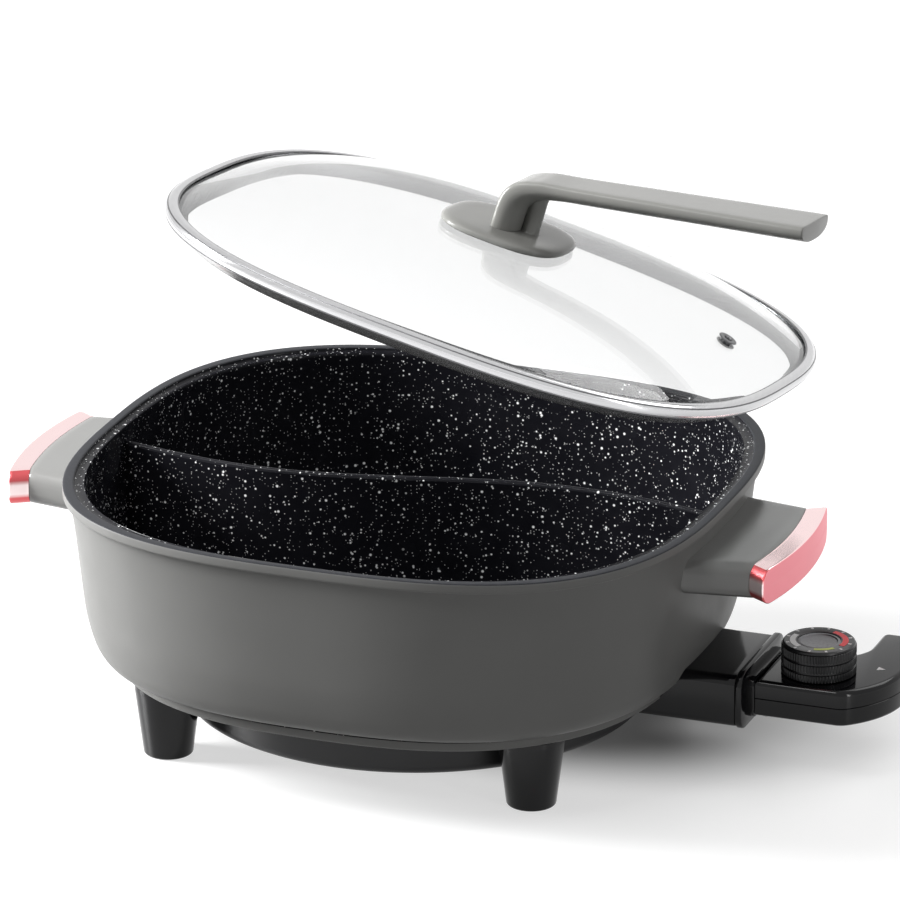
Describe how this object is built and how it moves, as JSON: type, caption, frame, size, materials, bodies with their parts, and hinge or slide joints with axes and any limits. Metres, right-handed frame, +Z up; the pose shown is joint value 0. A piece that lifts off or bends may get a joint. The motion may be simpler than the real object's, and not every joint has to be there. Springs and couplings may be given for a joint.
{
  "type": "electric hot pot with lid",
  "caption": "Divided electric hot pot on four feet, with side grips, a loose domed glass lid with an arm handle and a plug-in thermostat controller.",
  "frame": {"origin": "on the table, under the middle of the pot", "axes": "+Z up, +X from the middle of the pot towards the plug-in controller, -Y towards the user at the front"},
  "size_m": [0.4705, 0.3436, 0.2889],
  "materials": {
    "coated_aluminium": "satin warm-grey coating outside, speckled black non-stick inside",
    "element_steel": "dull",
    "steel": "plain",
    "ceramic": "matte",
    "dark_sheet": "satin",
    "black_plastic": "gloss",
    "grey_plastic": "satin",
    "rose_plating": "rose-gold metallised",
    "lid_glass": "clear",
    "rim_steel": "bright",
    "seal_rubber": "matte",
    "lid_plastic": "satin",
    "brass": "plain",
    "bimetal": "plain",
    "black_rubber": "matte",
    "knob_plastic": "satin, knurled",
    "dial_plate": "printed"
  },
  "bodies": {
    "pot": {"pot_body": "coated_aluminium", "heating_element": "element_steel", "element_clips": "steel", "terminal_pins": "steel", "terminal_block": "ceramic", "probe_channel": "steel", "heater_cover": "dark_sheet", "cover_screws": "steel", "foot_front_left": "black_plastic", "foot_front_right": "black_plastic", "foot_rear_left": "black_plastic", "foot_rear_right": "black_plastic", "foot_screws": "steel", "socket_shroud": "black_plastic", "shroud_screws": "steel", "grip_left": "grey_plastic", "grip_right": "grey_plastic", "grip_cap_left": "rose_plating", "grip_cap_right": "rose_plating", "grip_bolts": "steel"},
    "lid": {"lid_glass": "lid_glass", "lid_rim": "rim_steel", "lid_vent": "rim_steel", "lid_handle_seal": "seal_rubber", "lid_handle_base": "lid_plastic", "lid_handle_arm": "lid_plastic", "lid_washer": "steel", "lid_screw": "steel"},
    "controller": {"controller_collar": "black_plastic", "controller_lower_case": "black_plastic", "controller_upper_case": "black_plastic", "case_screws": "steel", "probe_rod": "steel", "contact_sleeves": "brass", "thermostat_frame": "steel", "bimetal_strip": "bimetal", "contact_blades": "brass", "cord_gland": "black_rubber"},
    "knob": {"knob_spindle": "steel", "knob": "knob_plastic", "knob_dial": "dial_plate"}
  },
  "joints": [
    {"name": "lid_swing", "type": "hinge", "parent": "pot", "child": "lid", "pos_m": [0.28876, 0.18325, 0.0451], "axis": [-0.5358, 0.8443, 0], "range_deg": [-16.4, 12]},
    {"name": "controller_pull", "type": "slide", "parent": "pot", "child": "controller", "axis": [1, 0, 0], "range_m": [0, 0.084]},
    {"name": "knob_turn", "type": "hinge", "parent": "controller", "child": "knob", "pos_m": [0.218, 0, 0.06], "axis": [0, 0, 1], "range_deg": [0, 270]}
  ]
}
